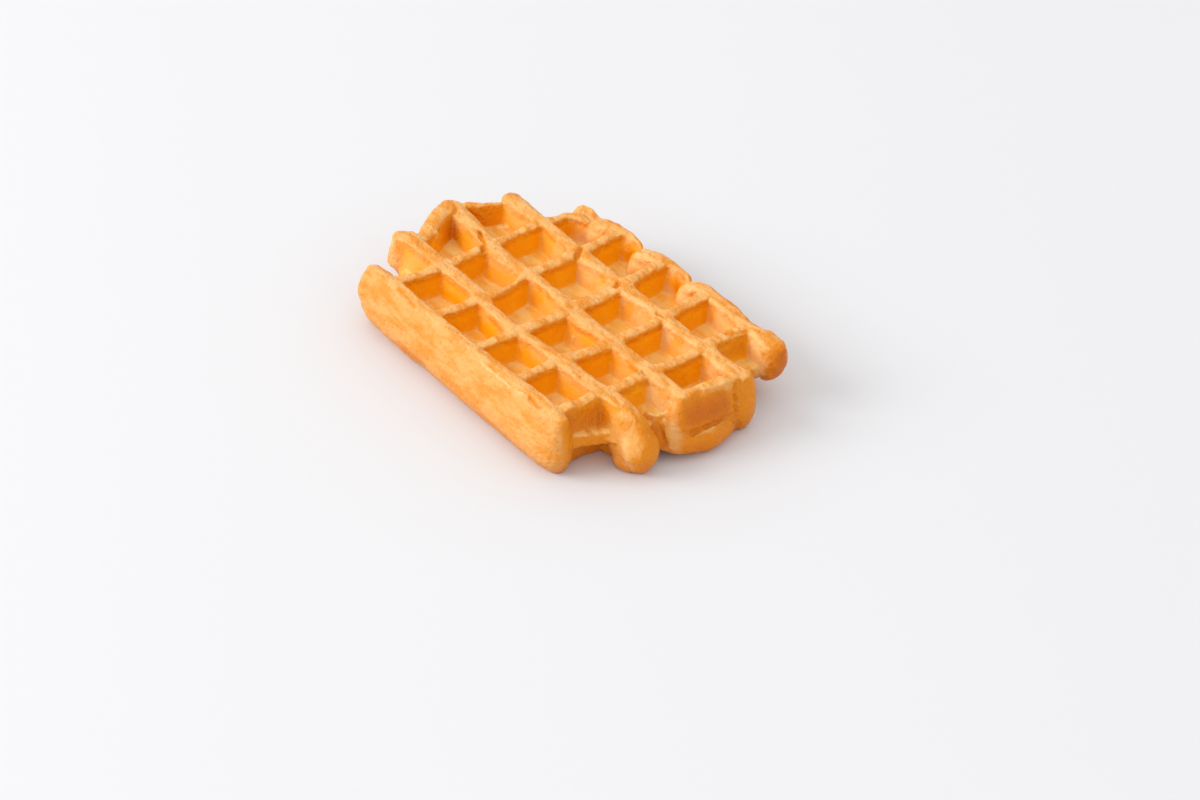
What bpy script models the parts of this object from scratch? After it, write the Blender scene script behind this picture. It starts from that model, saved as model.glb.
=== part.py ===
"""A Belgian waffle from a rectangular iron, modelled in Blender as one solid.

Four rows of pockets by six, the same on both faces, with a thin web of dough between an upper
pocket and the one below it. The two halves of the iron meet at mid-thickness, so each ridge is
widest there and leans in towards the top and the bottom. The dough ran out unevenly: two corner
pockets are missing, some outer rims are low, and the ridges end in rounded noses.

Places on the waffle are counted in pockets: (0, 0) is the middle of the first pocket of the
first row, and a ridge lies half a step to each side of it. +X runs along the rows, +Z is up,
and the origin is under the middle of the waffle, on the plane that it rests on.
"""

import bmesh
import bpy
from mathutils import Vector

# Driving sizes, in metres.
STEP_X = 0.0232        # from one pocket to the next along a row
STEP_Y = 0.0225        # from one row to the next
THICKNESS = 0.0249     # ridge top to ridge bottom, as the iron made it
WEB = 0.0056           # dough between an upper pocket and a lower one
RIDGE_HALF = 0.0031    # half of a plain ridge's flat top
POCKET_LEAN = 0.0020   # how much wider a ridge is at mid-thickness than at its top, each side
OUTER_LEAN = 0.0048    # the same on the outside of the waffle, where the iron opens wider
FLAT_CUT = 0.0004      # taken off the underside, so that the ridges rest on flats

# The skin of the solid: fused at this grain, softened, and thinned out.
GRAIN = 0.0010
SOFTENING = 5
SOFT_SHARE = 0.5
FACES_WANTED = 8400

# How the grid wandered when the hot waffle was lifted out, in metres.
COLUMN_SWAY = (0.0, 0.0005, 0.0, 0.0015, 0.0012, 0.0009, 0.0)
ROW_BOW = (0.0, 0.0010, 0.0, 0.0018, 0.0)
ROW_TURN = (0.0, 0.0, -0.0009, 0.0, 0.0)
MIDDLE = Vector((2.333, 1.515))   # the middle of the waffle, in pockets
HALF_SPAN = 3                     # pockets from the middle to an end

# A run of dough is a chain of stations: column, row, width as a share of a plain ridge's, and
# how much lower than a full ridge its top and bottom faces are, in metres.
RIDGES = (
    # along the rows
    ((0.02, -0.42, 1.0, 0.0010), (0.5, -0.41, 1.0, 0), (2.5, -0.43, 1.0, 0), (4.5, -0.45, 1.0, 0),
     (4.76, -0.46, 0.9, 0.0006)),
    ((-0.56, 0.55, 1.2, 0.0026), (-0.40, 0.52, 1.35, 0.0008), (-0.1, 0.5, 1.25, 0.0004), (0.5, 0.5, 1.0, 0),
     (2.5, 0.5, 1.0, 0), (4.5, 0.5, 1.0, 0), (5.08, 0.5, 1.1, 0)),
    ((-0.74, 1.76, 1.35, 0.0010), (-0.2, 1.64, 1.15, 0.0008), (0.5, 1.5, 1.0, 0), (2.5, 1.5, 1.0, 0),
     (5.25, 1.5, 1.0, 0)),
    ((-0.36, 2.52, 1.1, 0.0004), (0.5, 2.5, 1.0, 0), (2.5, 2.5, 1.0, 0), (4.5, 2.5, 1.0, 0),
     (5.28, 2.5, 1.1, 0)),
    # across them
    ((0.5, -0.42, 1.0, 0), (0.5, 2.5, 1.0, 0), (0.5, 3.2, 0.9, 0.0016), (0.5, 3.4, 0.6, 0.0002)),
    ((1.5, -0.42, 1.0, 0), (1.5, 1.5, 1.0, 0), (1.5, 2.5, 1.0, 0), (1.5, 3.48, 1.0, 0)),
    ((2.5, -0.43, 1.0, 0), (2.5, 1.5, 1.0, 0), (2.5, 2.5, 1.0, 0), (2.5, 3.48, 1.0, 0)),
    ((3.5, -0.44, 1.0, 0), (3.5, 1.5, 1.0, 0), (3.5, 2.5, 1.0, 0), (3.5, 3.48, 1.0, 0)),
    ((4.5, -0.45, 1.0, 0), (4.5, 1.5, 1.0, 0), (4.5, 2.5, 1.0, 0), (4.5, 3.48, 1.0, 0)),
    # the rims that close the end pockets: second and third row far, then third and second row near
    ((-0.16, 0.72, 1.0, 0.0020), (-0.38, 1.0, 1.1, 0.0010), (-0.68, 1.42, 1.2, 0.0008),
     (-0.74, 1.76, 1.3, 0.0010)),
    ((-0.70, 1.95, 0.5, 0.0046), (-0.62, 2.35, 0.5, 0.0052)),
    ((5.28, 1.3, 1.0, 0.0005), (5.2, 1.75, 1.0, 0), (5.28, 2.5, 1.0, 0)),
    ((5.12, 0.70, 0.8, 0.0080), (5.20, 1.15, 0.8, 0.0074)),
    # the far side's rim, low beside the middle of three pockets
    ((0.5, 3.4, 0.6, 0.0002), (0.86, 3.42, 0.5, 0.0014), (1.05, 3.42, 0.8, 0.0036), (1.26, 3.5, 0.9, 0.0008),
     (1.5, 3.48, 1.0, 0), (1.78, 3.5, 0.9, 0.0050), (2.05, 3.5, 0.9, 0.0062), (2.26, 3.5, 0.9, 0.0012),
     (2.5, 3.48, 1.0, 0), (2.8, 3.5, 0.9, 0.0050), (3.05, 3.5, 0.9, 0.0062), (3.24, 3.5, 0.9, 0.0010),
     (3.5, 3.5, 1.0, 0), (4.5, 3.5, 1.0, 0), (4.74, 3.48, 1.1, 0.0004), (5.02, 3.55, 1.0, 0.0038)),
)
SKIRTS = (
    # what the iron's opening leaves outside the ridges: along the first row
    ((0.06, -0.44, 0.6, 0.0012), (0.5, -0.44, 0.6, 0.0002), (1.5, -0.44, 0.6, 0), (2.5, -0.48, 0.6, 0),
     (3.5, -0.51, 0.6, 0.0002), (4.62, -0.53, 0.6, 0.0006)),
    # the near ends of the second, third and fourth ridge, and of the rim between the last two
    ((5.12, 0.5, 0.7, 0.0008), (5.36, 0.5, 0.8, 0.0052)),
    ((5.26, 1.06, 0.6, 0.0060), (5.38, 1.34, 0.6, 0.0006), (5.32, 1.75, 0.6, 0.0002),
     (5.34, 2.2, 0.6, 0.0004), (5.36, 2.58, 0.7, 0.0004)),
    # the far side
    ((1.26, 3.52, 0.6, 0.0012), (1.58, 3.54, 0.6, 0.0006)),
    ((2.3, 3.54, 0.6, 0.0006), (2.64, 3.56, 0.6, 0.0008)),
    ((3.3, 3.54, 0.6, 0.0004), (4.5, 3.54, 0.6, 0.0002), (4.72, 3.54, 0.7, 0.0010)),
    # the far ends of the second and third ridge
    ((-0.44, 0.53, 0.5, 0.0020),),
    ((-0.70, 1.72, 0.6, 0.0016),),
)

# The web: rows of pockets, each from its first to its last column with dough in it.
WEB_ROWS = (
    (0, 0.5, 5.02),
    (1, -0.42, 5.24),
    (2, -0.58, 5.4),
    (3, 0.5, 4.98),
)


def between(values, place):
    """The value at a place between the middles of evenly spaced ridges, the first at -0.5."""
    place = min(max(place + 0.5, 0), len(values) - 1)
    low = min(int(place), len(values) - 2)
    return values[low] + (values[low + 1] - values[low]) * (place - low)


def at(column, row):
    """The plan place of a point of the grid, with the grid's wandering in it."""
    across = (column - MIDDLE.x) / HALF_SPAN
    x = STEP_X * (column - MIDDLE.x) + between(COLUMN_SWAY, column)
    y = STEP_Y * (row - MIDDLE.y) + between(ROW_BOW, row) * across ** 2 + between(ROW_TURN, row) * across
    return Vector((x, y))


def with_waist(bm, verts):
    """Cuts a new form all round at mid-height, and gives all its vertices."""
    faces = {face for vert in verts for face in vert.link_faces}
    edges = {edge for face in faces for edge in face.edges}
    cut = bmesh.ops.bisect_plane(bm, geom=[*verts, *edges, *faces], plane_co=(0, 0, 0), plane_no=(0, 0, 1))
    return verts + [v for v in cut["geom_cut"] if isinstance(v, bmesh.types.BMVert)]


def level_of(vert, loss):
    """Where a vertex at height -1, 0 or 1 belongs, on a run that is lower than full by loss."""
    return vert.co.z * (THICKNESS / 2 - loss)


def add_post(bm, place, half, lean, loss):
    """A round stub at a station: two cone frustums that meet at the waist."""
    post = bmesh.ops.create_cone(bm, cap_ends=True, segments=14, radius1=1, radius2=1, depth=2)["verts"]
    for vert in with_waist(bm, post):
        radius = half + lean * (abs(vert.co.z) < 0.5)
        vert.co = (place.x + vert.co.x * radius, place.y + vert.co.y * radius, level_of(vert, loss))


def add_bar(bm, start, end, halves, lean, losses):
    """A straight stretch between two stations: a box with a waist, fitted to each end."""
    left = Vector((start.y - end.y, end.x - start.x)).normalized()
    bar = bmesh.ops.create_cube(bm, size=2)["verts"]
    for vert in with_waist(bm, bar):
        last = vert.co.x > 0
        half = halves[last] + lean * (abs(vert.co.z) < 0.5)
        plan = (end if last else start) + left * (half * vert.co.y)
        vert.co = (plan.x, plan.y, level_of(vert, losses[last]))


def add_run(bm, stations, lean):
    """A chain of stations: a post at each, and a bar between each two."""
    places = [at(column, row) for column, row, _, _ in stations]
    halves = [width * RIDGE_HALF for _, _, width, _ in stations]
    losses = [loss for _, _, _, loss in stations]
    for place, half, loss in zip(places, halves, losses):
        add_post(bm, place, half, lean, loss)
    for i in range(len(stations) - 1):
        add_bar(bm, places[i], places[i + 1], halves[i:i + 2], lean, losses[i:i + 2])


def add_web_row(bm, row, first, last):
    """The web along one row of pockets, from ridge middle to ridge middle."""
    tile = bmesh.ops.create_cube(bm, size=1)["verts"]
    for vert in tile:
        plan = at(last if vert.co.x > 0 else first, row + vert.co.y)
        vert.co = (plan.x, plan.y, vert.co.z * WEB)


def waffle_mesh():
    """All the dough as overlapping closed forms, centred at mid-thickness."""
    bm = bmesh.new()
    for stations in RIDGES:
        add_run(bm, stations, POCKET_LEAN)
    for stations in SKIRTS:
        add_run(bm, stations, OUTER_LEAN)
    for row, first, last in WEB_ROWS:
        add_web_row(bm, row, first, last)
    bmesh.ops.recalc_face_normals(bm, faces=bm.faces)
    mesh = bpy.data.meshes.new("waffle_forms")
    bm.to_mesh(mesh)
    bm.free()
    return mesh


def evaluated_copy(obj, name):
    """The object's mesh with its modifiers in it."""
    bpy.context.view_layer.update()
    graph = bpy.context.evaluated_depsgraph_get()
    mesh = bpy.data.meshes.new_from_object(obj.evaluated_get(graph))
    mesh.name = name
    return mesh


def fused_skin(forms, collection):
    """One soft, closed, light skin round all the forms."""
    raw = bpy.data.objects.new("raw_waffle", forms)
    collection.objects.link(raw)
    fuse = raw.modifiers.new("fuse", "REMESH")
    fuse.mode, fuse.voxel_size = "VOXEL", GRAIN
    soften = raw.modifiers.new("soften", "SMOOTH")
    soften.factor, soften.iterations = SOFT_SHARE, SOFTENING
    skin = evaluated_copy(raw, "waffle")
    bpy.data.objects.remove(raw)
    return skin


def material():
    """Golden crust under a thin sugar glaze."""
    crust = bpy.data.materials.new("glazed_crust")
    crust.use_nodes = True
    shader = crust.node_tree.nodes["Principled BSDF"]
    shader.inputs["Base Color"].default_value = (0.84, 0.42, 0.12, 1)
    shader.inputs["Roughness"].default_value = 0.42
    shader.inputs["Metallic"].default_value = 0
    return crust


def table_cutter(collection, skin):
    """A block whose top is the plane that the waffle rests on."""
    lowest = min(vert.co.z for vert in skin.vertices)
    bm = bmesh.new()
    bmesh.ops.create_cube(bm, size=1)
    for vert in bm.verts:
        vert.co.x *= 0.3
        vert.co.y *= 0.3
        vert.co.z = lowest + FLAT_CUT + (vert.co.z - 0.5) * 0.02
    mesh = bpy.data.meshes.new("table_plane")
    bm.to_mesh(mesh)
    bm.free()
    cutter = bpy.data.objects.new("table_plane", mesh)
    cutter.hide_render = True
    cutter.display_type = "WIRE"
    collection.objects.link(cutter)
    return cutter


def set_down(mesh):
    """Moves the mesh so that the middle of its box is over the origin and its lowest point on z = 0."""
    low = Vector([min(vert.co[axis] for vert in mesh.vertices) for axis in range(3)])
    high = Vector([max(vert.co[axis] for vert in mesh.vertices) for axis in range(3)])
    for vert in mesh.vertices:
        vert.co -= Vector(((low.x + high.x) / 2, (low.y + high.y) / 2, low.z))


def main():
    for obj in list(bpy.data.objects):
        bpy.data.objects.remove(obj)
    parts = bpy.data.collections.new("waffle")
    cutters = bpy.data.collections.new("cutters")
    for collection in (parts, cutters):
        bpy.context.scene.collection.children.link(collection)
    cutters.hide_render = True

    skin = fused_skin(waffle_mesh(), cutters)
    waffle = bpy.data.objects.new("waffle", skin)
    parts.objects.link(waffle)
    thin = waffle.modifiers.new("thin", "DECIMATE")
    thin.ratio = FACES_WANTED / sum(len(face.vertices) - 2 for face in skin.polygons)
    flat = waffle.modifiers.new("flat_underside", "BOOLEAN")
    flat.object = table_cutter(cutters, skin)
    flat.operation = "DIFFERENCE"
    waffle.data = evaluated_copy(waffle, "waffle")
    waffle.modifiers.clear()
    set_down(waffle.data)
    waffle.data.materials.append(material())
    waffle.data.shade_smooth()


main()
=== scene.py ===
"""The looks of a Belgian waffle from a rectangular iron: its risen, glazed crust, and a plain stage.

The dough is made the way the iron makes it. Chains of stations run along the ridges and the web,
and Geometry Nodes stand a post of dough at every point of them. A voxel remesh fuses the posts,
and a second tree softens the skin, raises its wrinkles, adds the touches (creases, lumps, browned
and pale patches, among them painted shade and painted light) and sets the waffle down on the
table.

Places on the waffle are counted in pockets: (0, 0) is the middle of the first pocket of the first
row, and a ridge lies half a step to each side of it. The tables give other sizes in millimetres,
and all else is in metres, with +Z up.
"""

import math

import bmesh
import bpy
from mathutils import Matrix, Vector


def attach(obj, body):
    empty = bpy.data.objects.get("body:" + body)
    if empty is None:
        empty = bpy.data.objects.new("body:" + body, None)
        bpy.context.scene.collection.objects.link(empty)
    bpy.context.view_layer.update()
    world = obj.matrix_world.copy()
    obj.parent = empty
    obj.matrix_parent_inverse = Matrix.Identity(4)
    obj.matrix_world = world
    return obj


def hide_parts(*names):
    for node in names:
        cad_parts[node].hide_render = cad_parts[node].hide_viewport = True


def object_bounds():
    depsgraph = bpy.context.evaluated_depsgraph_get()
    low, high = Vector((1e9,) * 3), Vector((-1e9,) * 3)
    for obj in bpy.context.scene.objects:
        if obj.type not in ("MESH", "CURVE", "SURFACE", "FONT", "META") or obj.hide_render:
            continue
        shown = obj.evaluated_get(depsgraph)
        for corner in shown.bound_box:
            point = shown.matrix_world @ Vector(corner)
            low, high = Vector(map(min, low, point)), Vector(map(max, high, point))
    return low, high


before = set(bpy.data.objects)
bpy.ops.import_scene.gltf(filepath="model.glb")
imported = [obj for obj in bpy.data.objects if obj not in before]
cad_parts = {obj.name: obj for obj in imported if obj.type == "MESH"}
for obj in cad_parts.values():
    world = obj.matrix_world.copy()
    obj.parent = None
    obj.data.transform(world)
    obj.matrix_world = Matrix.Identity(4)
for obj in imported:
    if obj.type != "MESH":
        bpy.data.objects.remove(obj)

CAD_LOW, CAD_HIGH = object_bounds()

bl_info = {
    "name": "Belgian Waffle",
    "version": (1, 0, 0),
    "blender": (4, 5, 0),
    "location": "3D View > Sidebar > Waffle",
    "description": "Makes a glazed Belgian waffle and a plain stage for it",
    "category": "Add Mesh",
}

MM = 0.001
FLAT_CUT = 0.4 * MM      # taken off the underside, so that the ridges rest on flats
MIDDLE = Vector((2.333, 1.515))   # the middle of the waffle, in pockets

# What each post of a chain holds: half its width at its ends, how much wider it is at its waist,
# the power that rounds its side, how far its foot spreads, and how much lower its two ends are
POST_SIZES = ("half", "lean", "belly", "foot", "top_loss", "base_loss")
ROUND_BELLY = 2          # the power for a round side, where 1 gives a straight one
CROWN_POWER = 3          # how sharply a crown drops at its edge
FOOT_POWER = 4           # how sharply a foot spreads near the waist
STEPS_PER_POCKET = 5     # stations from one pocket to the next, once a chain is filled in

# Where ridges have feet, in pockets, and how fast a foot grows from there inwards
POCKETS_FROM = -0.3
LAST_COLUMN_ENDS = 5.1
LAST_ROW_ENDS = 3.3
FOOT_RISE = 5

SWELL_SEED = 7.3         # sets the noise of a ridge's width and height apart from its wavering
WRINKLE_SEED = 3.1       # sets the wrinkles' noise apart from the relief's
WRINKLED_DEPTH = 2 * MM  # the skin is fully wrinkled down to this far below the ridge tops
WRINKLES_FADE = 4 * MM   # and its wrinkles fade over this much below that

FLOOR_HALF = 3           # half of the floor's side
KEY_LIGHT_TOWARD = Vector((-0.45, -0.75, 0.50))   # from the waffle to the large soft light
CAMERA_AIM = Vector((0.03, -0.0063, 0))           # the point that the camera aims at

# How far each crossing of two ridges wandered from the iron's grid when the hot waffle was lifted
# out, in millimetres. A row of the table is a ridge along X, a column is a ridge across.
WANDER_X = (
    (0, 0.5, 0, 1.5, 1.2, 0.9, 0),
    (0, 0.2, 1.4, 2.1, 0.4, 0.7, 0),
    (0, 1.4, -0.5, 1, 1.6, 1.8, 0),
    (0, -0.2, -0.5, 1.4, 1.3, 0.3, 0),
    (0, 0.5, 0, 1.5, 1.2, 0.9, 0),
)
WANDER_Y = (
    (0, 0, 0, 0, 0, 0, 0),
    (0.9, 1.5, 1, -0.7, 0.2, 0.7, 1.1),
    (0.8, 0.7, 0.8, -0.5, -0.9, -0.9, -0.9),
    (1.6, 2, 0.8, 0.8, 0.2, 1.6, 2),
    (0, 0, 0, 0, 0, 0, 0),
)

# A chain's stations: column, row, width as a share of a plain ridge's, and how much lower than a
# full ridge its top face is, in millimetres. A fifth number says how much higher than a full ridge
# its bottom face is. Without one, the bottom face is like the top one.
RIDGES = (
    # along the rows
    ((-0.04, -0.38, 0.9, 0.6), (0.4, -0.385, 0.8, 0), (1.5, -0.385, 0.8, 0), (2.5, -0.4, 0.8, 0),
     (3.4, -0.38, 0.8, 0), (4.4, -0.37, 0.85, 0.2), (4.58, -0.38, 0.8, 0.8)),
    ((-0.54, 0.48, 1.2, 0.6, 9), (-0.4, 0.54, 1.3, -0.2, 6), (-0.1, 0.53, 1.1, 0.2, 0.6),
     (0.5, 0.5, 1, 0), (1.1, 0.51, 0.95, 0.4), (1.5, 0.48, 1, 0), (1.75, 0.44, 0.75, 0.4),
     (2.4, 0.44, 1, 0.1), (2.6, 0.47, 0.75, 0.2), (3, 0.5, 0.85, 0.4), (3.5, 0.5, 1, 0),
     (4, 0.49, 1, 0.3), (4.5, 0.52, 1.05, 0), (4.85, 0.55, 1, 0.4), (5.08, 0.59, 1, 2.2),
     (5.24, 0.63, 1, 5)),
    ((-0.72, 1.67, 1.2, 0.2), (-0.3, 1.64, 1.15, 0.3), (0.3, 1.53, 0.95, 0.4), (0.5, 1.49, 1, 0),
     (0.75, 1.44, 1.2, 0.2), (1.2, 1.48, 1, 0.5), (1.5, 1.5, 1, 0), (1.75, 1.54, 0.7, 0.3),
     (2.2, 1.53, 0.8, 0.5), (2.5, 1.5, 1, 0), (2.8, 1.46, 1.15, 0.2), (3.5, 1.5, 1, 0),
     (4, 1.5, 1, 0.4), (4.4, 1.5, 0.95, 0), (4.7, 1.47, 1.1, 0), (5.05, 1.53, 0.8, 0.3),
     (5.2, 1.52, 0.9, 0.5)),
    ((-0.34, 2.53, 1.25, -0.3), (0, 2.5, 1.1, -0.2), (0.5, 2.52, 0.85, 0), (0.85, 2.53, 0.75, 0.3),
     (1.3, 2.51, 0.9, 0.2), (1.5, 2.5, 1, 0), (2.1, 2.52, 0.85, 0.4), (2.5, 2.5, 1, 0),
     (2.8, 2.48, 1.1, 0.2), (3.3, 2.53, 0.85, 0.2), (3.5, 2.5, 1, 0), (4.2, 2.46, 0.95, 0.3),
     (4.5, 2.49, 1, 0), (4.8, 2.43, 1.1, 0.2), (5.34, 2.44, 1.1, 0.3)),
    # across them
    ((0.39, -0.38, 0.8, 0.3), (0.48, 0.1, 0.85, 0.4), (0.5, 0.5, 1, 0), (0.47, 1, 0.75, 0.7),
     (0.45, 1.45, 0.9, 0.2), (0.45, 2, 0.6, 0.8), (0.47, 2.45, 0.9, 0), (0.54, 2.75, 0.75, 0.2),
     (0.54, 2.97, 0.7, 0.3), (0.68, 3.15, 0.6, 0.4), (0.84, 3.22, 0.5, 1.4)),
    ((1.47, -0.36, 0.85, 0.2), (1.5, 0.1, 0.85, 0.5), (1.5, 0.5, 1, 0), (1.56, 0.9, 0.5, 0.4),
     (1.54, 1.2, 0.35, 0.3), (1.47, 1.5, 0.85, 0), (1.5, 2, 0.9, 0.5), (1.5, 2.5, 1, 0),
     (1.48, 2.85, 0.8, 0.3), (1.45, 3.1, 0.8, 0.2), (1.42, 3.4, 0.9, 0)),
    ((2.43, -0.37, 0.75, 0.2), (2.47, 0.1, 0.75, 0.6), (2.48, 0.5, 1, 0), (2.54, 1, 0.9, 0.4),
     (2.54, 1.5, 1.1, 0), (2.55, 2, 1.05, 0.3), (2.5, 2.5, 1, 0), (2.46, 2.85, 0.85, 0.3),
     (2.43, 3.15, 0.85, 0.1), (2.42, 3.42, 0.9, 0)),
    ((3.45, -0.36, 0.85, 0.2), (3.47, 0.1, 0.8, 0.5), (3.49, 0.5, 1, 0), (3.56, 1, 0.9, 0.3),
     (3.55, 1.5, 1, 0), (3.57, 2, 0.75, 0.4), (3.57, 2.35, 0.75, 0), (3.5, 2.6, 1, 0),
     (3.48, 3, 0.85, 0.4), (3.48, 3.45, 0.95, 0)),
    ((4.42, -0.34, 0.8, 0.3), (4.45, 0.1, 0.75, 0.5), (4.46, 0.5, 0.9, 0), (4.5, 0.75, 0.7, 0.4),
     (4.47, 1.2, 0.95, 0.2), (4.47, 1.5, 1, 0), (4.53, 2, 0.8, 0.3), (4.54, 2.4, 0.8, 0),
     (4.5, 2.6, 1, 0), (4.5, 3, 0.85, 0.4), (4.5, 3.38, 1, 0)),
    # the rims that close the end pockets: second and third row far, then third row near
    ((-0.26, 0.66, 0.8, 0.9), (-0.38, 0.86, 1, 0.7), (-0.53, 1.14, 1.15, 0.2),
     (-0.66, 1.39, 1.25, -0.2), (-0.73, 1.62, 1.3, -0.2)),
    ((-0.62, 1.86, 0.6, 0.2), (-0.48, 2.04, 0.5, 0.6), (-0.38, 2.3, 0.5, 1)),
    ((5.2, 1.54, 0.7, 0.4), (5.24, 1.75, 0.65, 0.2), (5.36, 2.3, 0.8, 0.2)),
    # the low lip of the second row's last pocket
    ((4.96, 0.98, 0.35, 7.4), (5.1, 1.06, 0.35, 8), (5.12, 1.28, 0.35, 7.6), (5.05, 1.46, 0.4, 4)),
    # the far side's rim, which rises from each pocket's floor towards the ridge beyond it
    ((0.55, 3.2, 0.5, 0.8), (0.54, 3.34, 0.5, -1), (0.7, 3.4, 0.5, -0.6), (0.9, 3.38, 0.5, 0.6)),
    ((0.62, 3.27, 0.7, 1), (0.85, 3.3, 0.6, 2)),
    ((0.92, 3.3, 0.8, 2.4), (1.06, 3.36, 1.2, 0.4), (1.26, 3.44, 1.1, 0), (1.46, 3.48, 0.8, 0),
     (1.62, 3.53, 0.4, 0.3), (1.8, 3.51, 0.35, 0.8), (1.93, 3.46, 0.35, 2.8)),
    ((1.96, 3.32, 0.8, 2.6), (2.08, 3.38, 1.2, 0.4), (2.26, 3.46, 1.1, 0), (2.46, 3.5, 0.8, 0),
     (2.66, 3.57, 0.4, 0.3), (2.88, 3.57, 0.35, 0.8), (3.04, 3.5, 0.35, 2.4)),
    ((3.04, 3.38, 0.8, 2.8), (3.16, 3.44, 1.2, 0.8), (3.3, 3.52, 1.1, 0), (3.5, 3.53, 1, 0),
     (4, 3.48, 1, 0), (4.46, 3.41, 1, 0), (4.84, 3.46, 1, 0.2, 8)),
)
# What the iron's opening leaves outside the ridges. Each chain starts with how far it leans out and
# the level at which it reaches farthest, in millimetres.
SKIRTS = (
    # along the first row
    (3.6, 8, ((-0.06, -0.35, 0.7, 1, 2), (0.1, -0.4, 0.75, 0.8, 1), (0.5, -0.43, 0.7, 0.8, 0),
              (1.5, -0.43, 0.7, 0.9, 0), (2.5, -0.46, 0.7, 1, 0), (3.5, -0.49, 0.7, 1, 0),
              (4.3, -0.47, 0.8, 1.2, 0), (4.52, -0.42, 0.8, 1.6, 0))),
    # the near ends of the second, third and fourth ridge
    (3.6, 10, ((4.95, 0.56, 1, 1.2, 0), (5.1, 0.58, 1.2, 3.4, 0), (5.28, 0.58, 1.3, 7, 0))),
    (4.4, 12.5, ((5.24, 1.44, 0.55, 2.6, 6), (5.28, 1.75, 0.5, 1.4, 6), (5.29, 2.12, 0.5, 1, 6))),
    (3, 5, ((5.16, 1.24, 1.2, 9, 5), (5.26, 1.42, 1.4, 12.5, 1.5), (5.38, 1.78, 1.4, 13, 0),
            (5.36, 2.08, 1, 13, 0))),
    (2.4, 10, ((5.36, 2.48, 1.1, 0.3), (5.37, 2.48, 1.1, 0.3))),
    # the far side
    (4, 12, ((1.2, 3.46, 0.5, 1.2), (1.58, 3.5, 0.5, 1))),
    (4, 12, ((2.2, 3.49, 0.5, 0.8), (2.64, 3.54, 0.4, 0.8))),
    (4, 12, ((3.26, 3.56, 0.5, 0.8), (4, 3.51, 0.5, 0.6), (4.5, 3.46, 0.5, 0.6))),
    # the far ends of the second and third ridge
    (3, 15, ((-0.7, 1.64, 0.8, 1, 2), (-0.69, 1.64, 0.8, 1, 2))),
)
# Swells of dough: column, row, level of the middle above the table, radius and half height, in
# millimetres, and how blunt their top and bottom are, from 0 to 1.
LUMPS = (
    # the block at the near end of the fourth row, and the browned end that curls down from it
    ((4.84, 3.46, 17, 5.2, 7.4, 0.8), (5.06, 3.46, 17, 5.4, 7, 0.7)),
    ((5.05, 3.44, 14, 4.8, 6, 0.5), (5, 3.42, 12, 4.2, 5, 0.5)),
    # the foot of the second ridge's near end
    ((5.08, 0.48, 4.6, 5, 4.6, 0.8), (5.18, 0.5, 4.6, 5, 4.6, 0.8)),
    # what slopes from the last row's floors to the far rim
    ((1.06, 3.32, 15, 5, 8.5, 0.3), (1.16, 3.34, 15, 5, 8.8, 0.3)),
    ((2.04, 3.34, 15, 5, 8.5, 0.3), (2.14, 3.36, 15, 5, 8.8, 0.3)),
    ((3.12, 3.38, 14.5, 4.6, 8.4, 0.3), (3.2, 3.4, 14.5, 4.6, 8.8, 0.3)),
)

# The web: rows of pockets, each with the columns that its dough starts from and ends at, along the
# row's near side and its far side.
WEB_ROWS = ((0, 0.36, 4.5, -0.2, 4.86), (1, -0.35, 5.08, -0.6, 5.08), (2, -0.6, 5.2, -0.4, 5.2),
            (3, 0.6, 4.9, 0.7, 4.9))
WEB_STRANDS = 7
WEB_HALF = 0.42          # half of its width in each row, in pockets
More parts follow.
